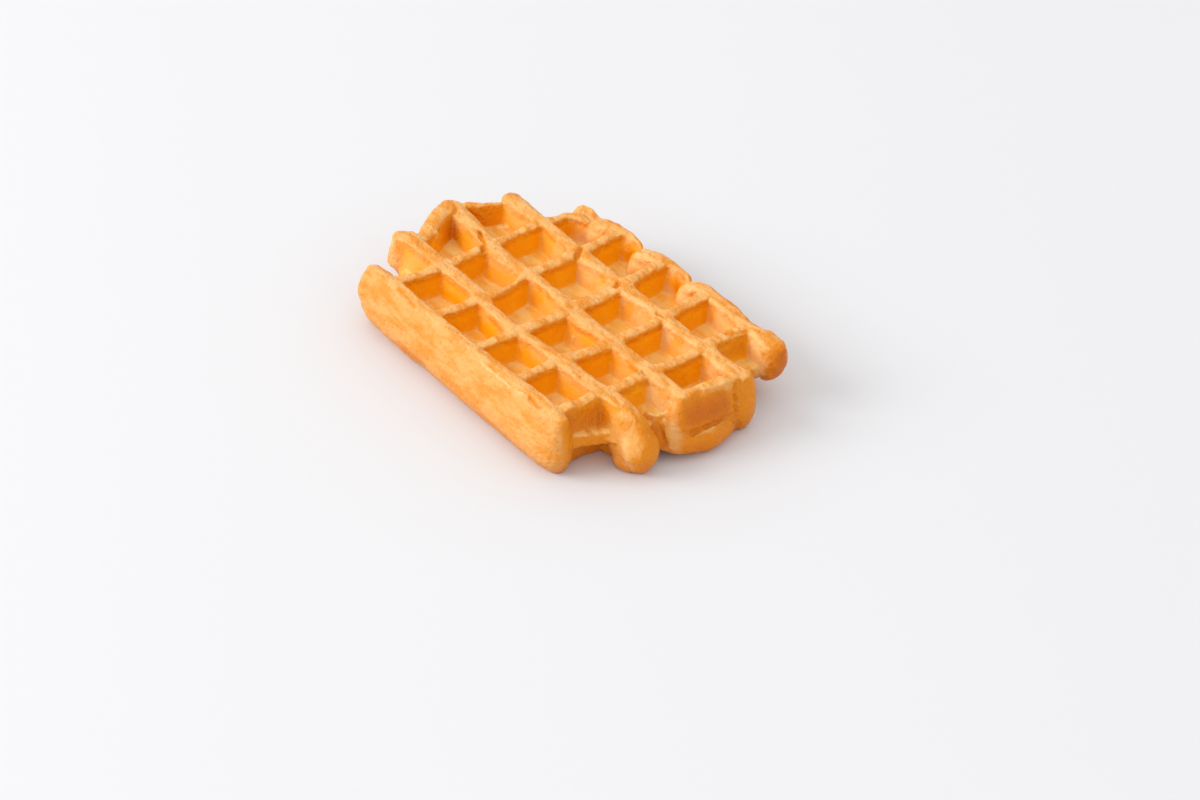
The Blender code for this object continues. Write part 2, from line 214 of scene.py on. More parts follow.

# Touches on the skin. Each is a stroke between two places (column, row, level above the table in
# millimetres), how far it reaches to each side and how far it raises the skin, in millimetres, and
# how much it darkens it and how much it pales it. The darkening is browning in some strokes and
# painted shade in others. The paling is dried glaze in some and painted light in others.
TOUCHES = (
    # creases and tears where ridges cross, darkened in the creases with painted shade
    ((-0.73, 1.71, 24), (-0.5, 1.54, 24), 1.3, -0.5, 0.2, -0.5),
    ((0.1, 1.56, 24), (0.53, 1.28, 24), 1.7, -1.5, 0.2, -0.9),
    ((1.47, 2.57, 24), (1.6, 2.37, 24), 1.9, -1.4, 0.1, -0.9),
    ((2.46, 2.46, 24), (2.52, 2.36, 24), 1.8, -1, 0.2, -0.9),
    ((3.43, 2.45, 24), (3.54, 2.46, 24), 1.4, -0.9, 0.2, -0.7),
    ((3.64, 2.34, 23), (3.66, 2.3, 22), 1.6, -0.4, 0.4, -0.7),
    ((2.52, 1.47, 24), (2.56, 1.47, 24), 1.6, -0.5, 0.1, -0.6),
    ((3.05, 1.49, 24), (3.15, 1.46, 24), 1.2, -0.3, 0.2, -0.4),
    ((4.39, 1.33, 24), (4.51, 1.31, 24), 1.1, -0.7, 0.5, -0.5),
    ((3.12, 0.45, 23), (3.2, 0.45, 22), 1.6, -0.6, 0.1, -0.8),
    # darker and paler walls: painted shade on walls that face away from the light, and painted light on
    # walls and faces that face it
    ((4.62, -0.2, 19), (4.66, 0.3, 17), 7, 0, 0.6, -0.5),
    ((4.62, 3.1, 19), (4.62, 2.7, 18), 5, 0, 0.5, -0.6),
    ((3.75, 1.38, 20), (4.3, 1.38, 18), 3.5, 0, 0, -0.35),
    ((0.62, 3.16, 19), (0.86, 3.24, 18), 3.5, 0, 0.3, -1),
    ((1.58, 3.42, 19), (1.86, 3.34, 18), 4, 0, 0.3, -1),
    ((2.62, 3.46, 19), (2.98, 3.42, 18), 4, 0, 0.2, -1),
    ((1, 3.18, 18), (1.16, 3.24, 23), 4.5, 0.3, 0, 0.5),
    ((1.99, 3.2, 18), (2.14, 3.26, 23), 4.5, 0.3, 0, 0.7),
    ((3.06, 3.26, 18), (3.2, 3.32, 23), 4.5, 0.3, 0, 0.7),
    ((-0.62, 0.34, 21), (-0.5, 0.28, 12), 4.5, 0, -0.2, 0.6),
    ((-0.42, 0.36, 15), (-0.1, 0.38, 16), 6.5, 0, 0, 0.4),
    ((4.7, 1.4, 18), (5.06, 1.38, 15), 6, 0, -0.2, 0.8),
    ((3.7, 2.4, 18), (4.24, 2.4, 17), 4.5, 0, 0, 0.4),
    ((4.72, 2.38, 18), (5.1, 2.38, 17), 4.5, 0, 0, 0.4),
    ((2.54, 2, 24), (2.54, 2.3, 24), 2.5, 0, 0, 0.4),
    ((4.47, 1, 24), (4.47, 1.3, 24), 2, 0, 0, 0.3),
    ((5.36, 0.66, 16), (5.44, 0.6, 6), 6, 0, 0.25, -0.4),
    # brown flecks on ridges
    ((4.01, 0.46, 24), (4.01, 0.45, 24), 1, -0.3, 0.7, -0.3),
    ((4.58, 1.52, 24), (4.6, 1.52, 24), 0.9, -0.3, 0.5, -0.3),
    ((5.06, 2.33, 24), (5.1, 2.33, 24), 0.9, -0.2, 0.5, -0.3),
    ((4.06, 1.44, 24), (4.37, 1.44, 24), 1.2, 0, 0.2, -0.2),
    ((3.92, -0.47, 24), (4.21, -0.48, 23), 1.5, -0.3, 0.3, -0.4),
    ((0.63, -0.43, 24), (1.12, -0.52, 24), 1.5, -0.2, 0.2, -0.5),
    # browned tips and outer edges
    ((0.84, 3.38, 24), (0.94, 3.34, 22), 1.8, 0, 0.6, -0.6),
    ((1.36, 3.6, 23), (1.84, 3.56, 21), 2.6, 0, 0.5, -0.9),
    ((2.4, 3.62, 23), (3.06, 3.54, 21), 2.2, 0, 0.5, -0.9),
    ((3.44, 3.66, 24), (4.59, 3.54, 24), 2.2, -0.1, 0.5, -0.7),
    ((4.19, 3.46, 23), (4.46, 3.54, 23), 2.6, -0.2, 0.1, -1),
    ((4.48, 2.95, 24), (4.62, 3.3, 24), 1.6, -0.2, 0.3, -0.5),
    ((4.85, 3.6, 23), (5.09, 3.54, 22), 2.2, 0.3, 0.4, -0.4),
    ((5.32, 3.48, 20), (5.22, 3.44, 10), 7, 0, 1, -1),
    ((5.26, 3.5, 22), (5.27, 3.52, 22), 2.4, 0.9, 0.2, 0),
    ((5.3, 3.34, 17), (5.3, 3.34, 16), 2, 0.8, -0.2, 0.3),
    ((5.22, 3.28, 12), (5.2, 3.3, 11), 2.2, 0.8, 0, 0),
    ((5.12, 3.36, 22.5), (5.14, 3.44, 22.5), 1.6, -0.6, 0.2, -0.4),
    # the near face: browned above its parting line, with a groove below it. The grooves' darkening is
    # painted shade, the pale line above the groove is a painted highlight, and the paler part towards the
    # first row is painted light
    ((5.46, 1.54, 16.5), (5.48, 2.02, 16), 9, -0.3, 1, -1),
    ((5.4, 1.5, 23), (5.42, 2.2, 22.5), 3, 0.4, -0.4, 0.5),
    ((5.44, 2.14, 21), (5.46, 2.22, 15), 2.6, 0.2, -0.4, 0.3),
    ((5.4, 1.22, 12), (5.44, 1.24, 5), 4.5, 0, -0.2, 0.7),
    ((5.54, 1.5, 10.6), (5.55, 2.24, 10.6), 1.5, -0.8, 0.3, -0.6),
    ((5.54, 1.3, 13), (5.53, 2.2, 13), 1.3, 0.6, -0.1, 0.5),
    ((5.63, 1.36, 6), (5.66, 1.8, 6), 3.6, 0, 0.2, -0.3),
    ((5.5, 2.26, 22), (5.58, 2.26, 4), 1.4, -1, 0.2, -0.3),
    ((5.5, 2.72, 18), (5.56, 2.64, 8), 3, 0, 0.3, -0.6),
    # the leg of the second ridge and the notch beside it: the notch is darkened with painted shade, and the
    # leg's face towards the first row is paled with painted light
    ((5.14, 0.74, 19), (5.32, 0.7, 14), 2.6, 0, 0.3, -0.4),
    ((5.24, 0.96, 15), (5.4, 1, 8), 2.6, -1.4, 0.8, -1),
    ((5.22, 0.32, 14), (5.36, 0.34, 4), 3.6, 0, -0.3, 0.6),
    # the band beside the first row: a full far end, a browned foot, and veined glaze along its shoulder,
    # which is partly dried glaze and partly a painted highlight
    ((-0.27, -0.42, 21), (-0.22, -0.56, 14), 7.5, 1.9, 0, 0),
    ((1, -0.66, 6), (1.55, -0.64, 6), 3, 0, 0.3, -0.4),
    ((1.03, -0.58, 23.5), (1.98, -0.57, 23.5), 1, 0.35, 0, 0.6),
    ((1.98, -0.57, 23.5), (3.24, -0.54, 23.5), 1, 0.35, 0, 0.6),
    ((3.24, -0.54, 23.5), (3.9, -0.5, 23.5), 1.2, 0.35, 0, 0.6),
    # glaze and dough that ran together on rims and floors
    ((-0.26, 0.98, 22), (-0.24, 0.96, 21), 2, 0.8, 0, 0.7),
    ((0.16, 1.5, 24.5), (0.18, 1.48, 24.5), 1.2, 0.8, 0, 0.6),
    ((0.37, 1.62, 24.5), (0.43, 1.57, 24.5), 1.2, 0.7, 0, 0.6),
    ((0.46, 1.2, 24), (0.5, 1.18, 24), 1.1, 0.6, 0, 0.6),
    ((-0.22, 2.22, 15), (-0.12, 2.28, 15), 2.4, 0.9, 0, 0.8),
    ((-0.24, 1.18, 15), (-0.1, 1.2, 15), 3, 0.6, 0, 0.8),
    ((1.88, 3.04, 16), (2, 3.08, 16), 3, 0.6, 0, 0.7),
    ((2.84, 3.16, 16), (2.92, 3.18, 16), 2.4, 0.6, 0, 0.5),
    ((2.02, 3.4, 23), (2.14, 3.44, 23), 1.8, 0.3, 0, 0.7),
    ((2.5, 3.54, 20), (2.52, 3.56, 19), 1.6, 0.4, 0, 0.7),
    ((1.02, 3.38, 23), (1.1, 3.44, 23), 1.8, 0.3, 0, 0.7),
    ((4.88, 3.22, 20), (5.02, 3.22, 13), 4.2, 0, -0.3, 1),
    ((5.02, 1, 17), (5.16, 1.24, 17), 1.6, 0.2, 0, 0.8),
    ((1.71, 0.27, 21), (1.71, 0.26, 18), 1, 0.5, 0, 0.7),
    ((2.89, 1.25, 18), (2.89, 1.25, 16), 1.4, 0.5, 0, 0.7),
)


def linear(code):
    """An sRGB hex colour, such as 'E8A050', as linear red, green and blue."""
    shares = [int(code[i:i + 2], 16) / 255 for i in (0, 2, 4)]
    return tuple(s / 12.92 if s <= 0.04045 else ((s + 0.055) / 1.055) ** 2.4 for s in shares)


def number(name, default, description, kind=bpy.props.FloatProperty, **more):
    """A property that holds a number."""
    return kind(name=name, default=default, description=description, **more)


def length(name, default, description):
    """A property that holds a size in metres."""
    return number(name, default, description, unit="LENGTH", precision=5)


def angle(name, degrees, description):
    """A property that holds an angle."""
    return number(name, math.radians(degrees), description, subtype="ANGLE")


def colour(name, code, description):
    """A property that holds a colour."""
    return bpy.props.FloatVectorProperty(name=name, default=linear(code), description=description,
                                         subtype="COLOR", size=3, min=0, max=1)


class WaffleSizes(bpy.types.PropertyGroup):
    """The iron's sizes, and how unevenly the dough filled it."""

    step_x: length("Step Along Rows", 23.2 * MM, "From one pocket to the next along a row")
    step_y: length("Step Across Rows", 22.5 * MM, "From one row of pockets to the next")
    thickness: length("Thickness", CAD_HIGH.z - CAD_LOW.z + FLAT_CUT, "From ridge top to ridge bottom")
    web: length("Web", 5.6 * MM, "Dough between an upper pocket and a lower one")
    ridge_half: length("Ridge Half Width", 2.9 * MM, "Half of a plain ridge's flat top")
    crown: length("Crown", 0.8 * MM, "How much higher a ridge's middle is than its edges")
    pocket_lean: length("Pocket Lean", 2.0 * MM, "How much wider a ridge is at mid-thickness, each side")
    foot: length("Foot", 3.5 * MM, "How far a ridge's foot spreads over a pocket's floor")
    post_spacing: length("Post Spacing", 1.1 * MM, "From one post of dough to the next along a chain")
    grain: length("Grain", 0.5 * MM, "Voxel size at which the posts are fused")
    waver: length("Waver", 0.3 * MM, "How far a ridge's middle line strays")
    waver_length: length("Waver Length", 12 * MM, "From one change along a ridge to the next")
    width_change: number("Width Change", 0.5, "How much a ridge's width changes, as a share")
    height_change: length("Height Change", 1.2 * MM, "How much a ridge's height changes")
    relief: length("Relief", 0.3 * MM, "Height of the broad swellings of the skin")
    relief_size: length("Relief Size", 9 * MM, "From one broad swelling to the next")
    wrinkle: length("Wrinkle", 0.3 * MM, "Height of the fine swellings of the skin")
    wrinkle_size: length("Wrinkle Size", 2.6 * MM, "From one fine swelling to the next")
    raggedness: length("Raggedness", 1.2 * MM, "How far the edge of a touch strays")
    softening: number("Softening", 3, "Rounds of smoothing after fusing", bpy.props.IntProperty)
    faces: number("Triangles", 190000, "Triangles in the finished skin", bpy.props.IntProperty)
    seed: number("Seed", 4, "Picks the pattern of the unevenness", bpy.props.IntProperty)


class CrustColours(bpy.types.PropertyGroup):
    """The colours of the crust and its glaze, and of the painted light, sheen and shade laid over them."""

    crust: colour("Crust", "F8AC04", "Baked crust of the pockets under clear glaze")
    deep: colour("Deep Crust", "F09602", "The same where it baked harder")
    ridge: colour("Ridge Crust", "E0860A", "Ridge tops and outsides, which lay against the iron")
    # Partly painted light: as a painted sheen, it pales the tops and the walls that face the key light
    veil_and_light: colour("Glaze Veil", "EEB972", "Where the sugar glaze dried to a pale veil")
    # Partly painted light: a painted sheen that lightens the floors against the pockets' shade
    pool: colour("Glaze Pool", "F2C670", "The same on the floors of the pockets, where it pooled")
    # Also painted shade: touches use it to darken walls that face away from the light, grooves and a notch
    toast_and_shade: colour("Toast", "CC6A02", "Browned edges")


class StageSettings(bpy.types.PropertyGroup):
    """The floor, the lights and the camera."""

    floor: colour("Floor", "DCDCDE", "Matt pale floor")
    key_power: number("Key Light Power", 56, "Power of the large soft light", unit="POWER")
    key_size: length("Key Light Size", 1.6, "Side of the large soft light")
    key_distance: length("Key Light Distance", 3, "From the large soft light to the waffle")
    room: number("Room Light", 0.98, "Strength of the even light from all round")
    azimuth: angle("Azimuth", 49.56, "Which way the camera stands round the waffle")
    elevation: angle("Elevation", 37.45, "How high it stands above the horizon")
    roll: angle("Roll", 2.53, "How far it is turned about its line of sight")
    distance: length("Distance", 1.1793, "From the camera to the point that it aims at")
    lens: number("Lens", 100, "Focal length in millimetres", unit="CAMERA")


# ---- Node trees --------------------------------------------------

# The kinds of node that are used most
MATH = "ShaderNodeMath"
VECTOR_MATH = "ShaderNodeVectorMath"
SPLIT = "ShaderNodeSeparateXYZ"
NOISE = "ShaderNodeTexNoise"
MAP_RANGE = "ShaderNodeMapRange"
ATTRIBUTE = "GeometryNodeInputNamedAttribute"
STORE = "GeometryNodeStoreNamedAttribute"


def add(tree, kind, links=(), **settings):
    """Adds a node with these settings. links maps an input to a value, a socket or a node."""
    node = tree.nodes.new(kind)
    for name, value in settings.items():
        setattr(node, name, value)
    for key, value in dict(links).items():
        socket = node.inputs[key] if isinstance(key, int) else next(
            s for s in node.inputs if s.enabled and key in (s.name, s.identifier))
        if isinstance(value, bpy.types.Node):
            value = next(s for s in value.outputs if s.enabled)
        if isinstance(value, bpy.types.NodeSocket):
            tree.links.new(value, socket)
        else:
            socket.default_value = value
    return node


def new_tree(name, numbers, **others):
    """A Geometry Nodes tree with geometry in and out, inputs for these numbers and inputs of other
    kinds, and its input sockets."""
    tree = bpy.data.node_groups.new(name, "GeometryNodeTree")
    tree.interface.new_socket("Geometry", in_out="OUTPUT", socket_type="NodeSocketGeometry")
    tree.interface.new_socket("Geometry", in_out="INPUT", socket_type="NodeSocketGeometry")
    for title, kind in (*((title, "Float") for title in numbers), *others.items()):
        tree.interface.new_socket(title, in_out="INPUT", socket_type="NodeSocket" + kind)
    return tree, tree.nodes.new("NodeGroupInput").outputs


def close_tree(tree, geometry, material):
    """Ends a tree in realised geometry with its material."""
    real = add(tree, "GeometryNodeRealizeInstances", {"Geometry": geometry})
    clad = add(tree, "GeometryNodeSetMaterial", {"Geometry": real, "Material": material})
    add(tree, "NodeGroupOutput", {"Geometry": clad})
    return tree


def add_nodes_modifier(obj, tree, sizes, **others):
    """Puts a tree on an object. Each input is set by its identifier, to the value of its own name in
    others or else in the sizes."""
    modifier = obj.modifiers.new(tree.name, "NODES")
    modifier.node_group = tree
    for item in tree.interface.items_tree:
        name = item.name.lower().replace(" ", "_")
        if item.in_out == "INPUT" and name != "geometry":
            value = others[name] if name in others else getattr(sizes, name)
            modifier[item.identifier] = float(value) if item.socket_type == "NodeSocketFloat" else value


def dough_runs_tree():
    """Stands a post of dough at every point of the chains: crowned, widest at its waist, and with a
    foot that spreads over the floors of the pockets."""
    numbers = ("Thickness", "Crown", "Post Spacing", "Waver", "Waver Length", "Width Change",
               "Height Change", "Seed")
    tree, sizes = new_tree("dough_runs", numbers, Material="Material")
    chains = add(tree, "GeometryNodeMeshToCurve", {"Mesh": sizes["Geometry"]})
    even = add(tree, "GeometryNodeResampleCurve", {"Curve": chains, "Length": sizes["Post Spacing"]},
               mode="LENGTH")
    post = add(tree, "GeometryNodeMeshCylinder", {"Vertices": 18, "Side Segments": 10, "Fill Segments": 3,
                                                  "Radius": 1, "Depth": 2})
    place = add(tree, "GeometryNodeInputPosition")
    marked = add(tree, STORE, {"Geometry": post, "Name": "unit", "Value": place},
                 data_type="FLOAT_VECTOR", domain="POINT")
    posts = add(tree, "GeometryNodeInstanceOnPoints", {"Points": even, "Instance": marked})
    real = add(tree, "GeometryNodeRealizeInstances", {"Geometry": posts})

    # Where each post stands, and how far it strays and swells there
    unit = add(tree, ATTRIBUTE, {"Name": "unit"}, data_type="FLOAT_VECTOR")
    half, lean, belly, foot, top_loss, base_loss = (
        add(tree, ATTRIBUTE, {"Name": name}, data_type="FLOAT") for name in POST_SIZES)
    centre = add(tree, VECTOR_MATH, {0: place, 1: unit}, operation="SUBTRACT")
    per_metre = add(tree, MATH, {0: 1, 1: sizes["Waver Length"]}, operation="DIVIDE")
    swell_seed = add(tree, MATH, {0: sizes["Seed"], 1: SWELL_SEED}, operation="ADD")
    uneven = []
    for seed, detail in ((sizes["Seed"], 1), (swell_seed, 2)):
        noise = add(tree, NOISE, {"Vector": centre, "W": seed, "Scale": per_metre, "Detail": detail},
                    noise_dimensions="4D")
        uneven.append(add(tree, VECTOR_MATH, {0: noise.outputs["Color"], 1: (0.5, 0.5, 0.5)},
                          operation="SUBTRACT"))
    drift, swell = uneven
    level_drift = add(tree, VECTOR_MATH, {0: drift, 1: (2, 2, 0)}, operation="MULTIPLY")
    stray = add(tree, VECTOR_MATH, {0: level_drift, "Scale": sizes["Waver"]}, operation="SCALE")
    swells = add(tree, SPLIT, {0: swell}).outputs
    widen = add(tree, MATH, {0: swells[0], 1: sizes["Width Change"], 2: 1}, operation="MULTIPLY_ADD")

    # How wide the post is at each level
    parts = add(tree, SPLIT, {0: unit}).outputs
    off_waist = add(tree, MATH, {0: parts[2]}, operation="ABSOLUTE")
    drawn_in = add(tree, MATH, {0: off_waist, 1: belly}, operation="POWER")
    at_waist = add(tree, MATH, {0: 1, 1: drawn_in}, operation="SUBTRACT")
    half_wide = add(tree, MATH, {0: half, 1: widen}, operation="MULTIPLY")
    leaning = add(tree, MATH, {0: at_waist, 1: lean, 2: half_wide}, operation="MULTIPLY_ADD")
    near_waist = add(tree, MATH, {0: 1, 1: off_waist}, operation="SUBTRACT")
    spreading = add(tree, MATH, {0: near_waist, 1: FOOT_POWER}, operation="POWER")
    radius = add(tree, MATH, {0: spreading, 1: foot, 2: leaning}, operation="MULTIPLY_ADD")

    # How high it stands, and how its crown drops towards its edge
    upper = add(tree, MATH, {0: parts[2], 1: 0}, operation="GREATER_THAN")
    loss = add(tree, "ShaderNodeMix", {"Factor": upper, "A": base_loss, "B": top_loss})
    lower = add(tree, MATH, {0: swells[1], 1: sizes["Height Change"], 2: loss}, operation="MULTIPLY_ADD")
    flat_unit = add(tree, "ShaderNodeCombineXYZ", {0: parts[0], 1: parts[1]})
    from_axis = add(tree, VECTOR_MATH, {0: flat_unit}, operation="LENGTH").outputs["Value"]
    edge = add(tree, MATH, {0: from_axis, 1: CROWN_POWER}, operation="POWER")
    drop = add(tree, MATH, {0: edge, 1: sizes["Crown"], 2: lower}, operation="MULTIPLY_ADD")
    full = add(tree, MATH, {0: sizes["Thickness"], 1: 0.5}, operation="MULTIPLY")
    level = add(tree, MATH, {0: full, 1: drop}, operation="SUBTRACT")

    reach = add(tree, "ShaderNodeCombineXYZ", {0: radius, 1: radius, 2: level})
    at_level = add(tree, "ShaderNodeCombineXYZ", {0: 1, 1: 1, 2: near_waist})
    moved = add(tree, VECTOR_MATH, {0: centre, 1: at_level, 2: stray}, operation="MULTIPLY_ADD")
    skin = add(tree, VECTOR_MATH, {0: unit, 1: reach, 2: moved}, operation="MULTIPLY_ADD")
    shaped = add(tree, "GeometryNodeSetPosition", {"Geometry": real, "Position": skin})
    return close_tree(tree, shaped, sizes["Material"])


def add_touches(tree, skin, strokes, raggedness):
    """Adds up what every stroke does at each point of the skin, in the attribute touch: how far it
    raises it, how much it darkens it, with browning and painted shade, and how much it pales it, with
    dried glaze and painted light."""
    place = add(tree, "GeometryNodeInputPosition")
    stray = add(tree, NOISE, {"Vector": place, "Scale": 1 / (4 * MM), "Detail": 2})
    even = add(tree, VECTOR_MATH, {0: stray.outputs["Color"], 1: (0.5, 0.5, 0.5)}, operation="SUBTRACT")
    shift = add(tree, VECTOR_MATH, {0: even, "Scale": raggedness}, operation="SCALE")
    twice = add(tree, VECTOR_MATH, {0: shift, 1: (2, 2, 2), 2: place}, operation="MULTIPLY_ADD")
    strayed = add(tree, STORE, {"Geometry": skin, "Name": "strayed", "Value": twice},
                  data_type="FLOAT_VECTOR", domain="POINT")
    count = add(tree, "GeometryNodeAttributeDomainSize", {"Geometry": strokes})
    start_loop = tree.nodes.new("GeometryNodeRepeatInput")
    end_loop = tree.nodes.new("GeometryNodeRepeatOutput")
    start_loop.pair_with_output(end_loop)
    tree.links.new(count.outputs["Point Count"], start_loop.inputs["Iterations"])
    tree.links.new(strayed.outputs[0], start_loop.inputs["Geometry"])

    stroke = {}
    for name, data_type in (("position", "FLOAT_VECTOR"), ("along", "FLOAT_VECTOR"),
                            ("reach", "FLOAT"), ("effect", "FLOAT_VECTOR")):
        field = place if name == "position" else add(tree, ATTRIBUTE, {"Name": name}, data_type=data_type)
        stroke[name] = add(tree, "GeometryNodeSampleIndex",
                           {"Geometry": strokes, "Value": field,
                            "Index": start_loop.outputs["Iteration"]}, data_type=data_type)

    # How near each point is to the stroke's line, and so how strongly it is touched
    here = add(tree, ATTRIBUTE, {"Name": "strayed"}, data_type="FLOAT_VECTOR")
    off_start = add(tree, VECTOR_MATH, {0: here, 1: stroke["position"]}, operation="SUBTRACT")
    run, whole = (add(tree, VECTOR_MATH, {0: vector, 1: stroke["along"]},
                      operation="DOT_PRODUCT").outputs["Value"] for vector in (off_start, stroke["along"]))
    share = add(tree, MATH, {0: run, 1: whole}, operation="DIVIDE", use_clamp=True)
    nearest = add(tree, VECTOR_MATH, {0: stroke["along"], "Scale": share}, operation="SCALE")
    off_line = add(tree, VECTOR_MATH, {0: off_start, 1: nearest}, operation="DISTANCE").outputs["Value"]
    strength = add(tree, MAP_RANGE,
                   {"Value": off_line, "From Max": stroke["reach"], "To Min": 1, "To Max": 0},
                   interpolation_type="SMOOTHERSTEP")
    done = add(tree, VECTOR_MATH, {0: stroke["effect"], "Scale": strength}, operation="SCALE")
    before = add(tree, ATTRIBUTE, {"Name": "touch"}, data_type="FLOAT_VECTOR")
    total = add(tree, VECTOR_MATH, {0: before, 1: done}, operation="ADD")
    summed = add(tree, STORE, {"Geometry": start_loop.outputs["Geometry"], "Name": "touch", "Value": total},
                 data_type="FLOAT_VECTOR", domain="POINT")
    tree.links.new(summed.outputs[0], end_loop.inputs["Geometry"])
    return end_loop.outputs["Geometry"]


def dough_skin_tree():
    """Softens the fused skin, raises its relief, touches it up, and sets it down on the table."""
    numbers = ("Relief", "Relief Size", "Wrinkle", "Wrinkle Size", "Wrinkled Above", "Rest Level",
               "Seed", "Raggedness")
    tree, sizes = new_tree("dough_skin", numbers, Softening="Int", Strokes="Object", Material="Material")
    place = add(tree, "GeometryNodeInputPosition")
    blurred = add(tree, "GeometryNodeBlurAttribute", {"Value": place, "Iterations": sizes["Softening"]},
                  data_type="FLOAT_VECTOR")
    soft = add(tree, "GeometryNodeSetPosition", {"Geometry": sizes["Geometry"], "Position": blurred})
    strokes = add(tree, "GeometryNodeObjectInfo", {"Object": sizes["Strokes"]}).outputs["Geometry"]
    touched = add_touches(tree, soft, strokes, sizes["Raggedness"])

    drawn_out = add(tree, VECTOR_MATH, {0: place, 1: (0.45, 1, 1)}, operation="MULTIPLY")
    swellings = []
    for height, size, seed_shift in (("Relief", "Relief Size", 0),
                                     ("Wrinkle", "Wrinkle Size", WRINKLE_SEED)):
        per_metre = add(tree, MATH, {0: 1, 1: sizes[size]}, operation="DIVIDE")
        seed = add(tree, MATH, {0: sizes["Seed"], 1: seed_shift}, operation="ADD")
        noise = add(tree, NOISE, {"Vector": drawn_out, "W": seed, "Scale": per_metre, "Detail": 1.5},
                    noise_dimensions="4D")
        even = add(tree, MAP_RANGE,
                   {"Value": noise, "From Min": 0.25, "From Max": 0.75, "To Min": -1, "To Max": 1})
        swellings.append(add(tree, MATH, {0: even, 1: sizes[height]}, operation="MULTIPLY"))
    parts = add(tree, SPLIT, {0: place}).outputs
    wrinkled_from = add(tree, MATH, {0: sizes["Wrinkled Above"], 1: WRINKLES_FADE}, operation="SUBTRACT")
    wrinkled = add(tree, MAP_RANGE,
                   {"Value": parts[2], "From Min": wrinkled_from, "From Max": sizes["Wrinkled Above"],
                    "To Min": 0.4}, interpolation_type="SMOOTHSTEP")
    swelling = add(tree, MATH, {0: swellings[1], 1: wrinkled, 2: swellings[0]}, operation="MULTIPLY_ADD")
    touch = add(tree, ATTRIBUTE, {"Name": "touch"}, data_type="FLOAT_VECTOR")
    raised_by = add(tree, SPLIT, {0: touch}).outputs[0]
    rise = add(tree, MATH, {0: raised_by, 1: MM, 2: swelling}, operation="MULTIPLY_ADD")
    outward = add(tree, "GeometryNodeInputNormal")
    push = add(tree, VECTOR_MATH, {0: outward, "Scale": rise}, operation="SCALE")
    rough = add(tree, "GeometryNodeSetPosition", {"Geometry": touched, "Offset": push})
    resting = add(tree, MATH, {0: parts[2], 1: sizes["Rest Level"]}, operation="MAXIMUM")
    raised = add(tree, MATH, {0: resting, 1: sizes["Rest Level"]}, operation="SUBTRACT")
    level = add(tree, "ShaderNodeCombineXYZ", {0: parts[0], 1: parts[1], 2: raised})
    set_down = add(tree, "GeometryNodeSetPosition", {"Geometry": rough, "Position": level})
    return close_tree(tree, set_down, sizes["Material"])


# ---- The waffle --------------------------------------------------

def wandered(table, column, row):
    """A value of one of the wander tables at a place between ridges."""
    u = min(max(column + 0.5, 0), len(table[0]) - 1.001)
    v = min(max(row + 0.5, 0), len(table) - 1.001)
    i, j = int(u), int(v)
    u, v = u - i, v - j
    near = table[j][i] * (1 - u) + table[j][i + 1] * u
    far = table[j + 1][i] * (1 - u) + table[j + 1][i + 1] * u
    return near * (1 - v) + far * v


def at(sizes, column, row, above_table=None):
    """A place on the grid, with the grid's wandering in it, at mid-thickness or at a level in
    millimetres above the table."""
    x = sizes.step_x * (column - MIDDLE.x) + wandered(WANDER_X, column, row) * MM
    y = sizes.step_y * (row - MIDDLE.y) + wandered(WANDER_Y, column, row) * MM
    z = 0 if above_table is None else above_table * MM + FLAT_CUT - sizes.thickness / 2
    return Vector((x, y, z))


def mesh_from(bm, name):
    """Turns a BMesh into a mesh, and frees it."""
    mesh = bpy.data.meshes.new(name)
    bm.to_mesh(mesh)
    bm.free()
    return mesh


def add_chain(bm, posts):
    """Strings posts together: each is its place and its sizes, in the order of POST_SIZES."""
    layers = [bm.verts.layers.float[name] for name in POST_SIZES]
    last = None
    for place, *values in posts:
        vert = bm.verts.new(place)
        for layer, value in zip(layers, values, strict=True):
            vert[layer] = value
        if last:
            bm.edges.new((last, vert))
        last = vert


def between(stations):
    """The stations, with enough between them to follow the wandering grid."""
    for start, end in zip(stations, stations[1:]):
        steps = max(1, round(STEPS_PER_POCKET * math.dist(start[:2], end[:2])))
        for step in range(steps):
            yield tuple(a + (b - a) * step / steps for a, b in zip(start, end))
    yield stations[-1]


def foot_share(column, row):
    """1 among the pockets, where a ridge's foot spreads over the web, falling to 0 at their edge."""
    inside = (column - POCKETS_FROM, LAST_COLUMN_ENDS - column, row - POCKETS_FROM, LAST_ROW_ENDS - row)
    return max(0, min(1, FOOT_RISE * min(inside)))


def add_ridge(bm, sizes, stations, lean, belly=1, foot=0, waist=None):
    """Dough between the iron's plates: from full height down to each station's losses."""
    full = [(*station, station[3])[:5] for station in stations]
    add_chain(bm, [(at(sizes, column, row, waist), width * sizes.ridge_half, lean, belly,
                    foot * foot_share(column, row), top * MM, base * MM)
                   for column, row, width, top, base in between(full)])


def add_lump(bm, sizes, stations):
    """A rounded swell of dough at its own level."""
    full = sizes.thickness - FLAT_CUT
    add_chain(bm, [(at(sizes, column, row, level), blunt * radius * MM, (1 - blunt) * radius * MM,
                    ROUND_BELLY, 0, full - (level + half_height) * MM,
                    FLAT_CUT + (level - half_height) * MM)
                   for column, row, level, radius, half_height, blunt in between(stations)])


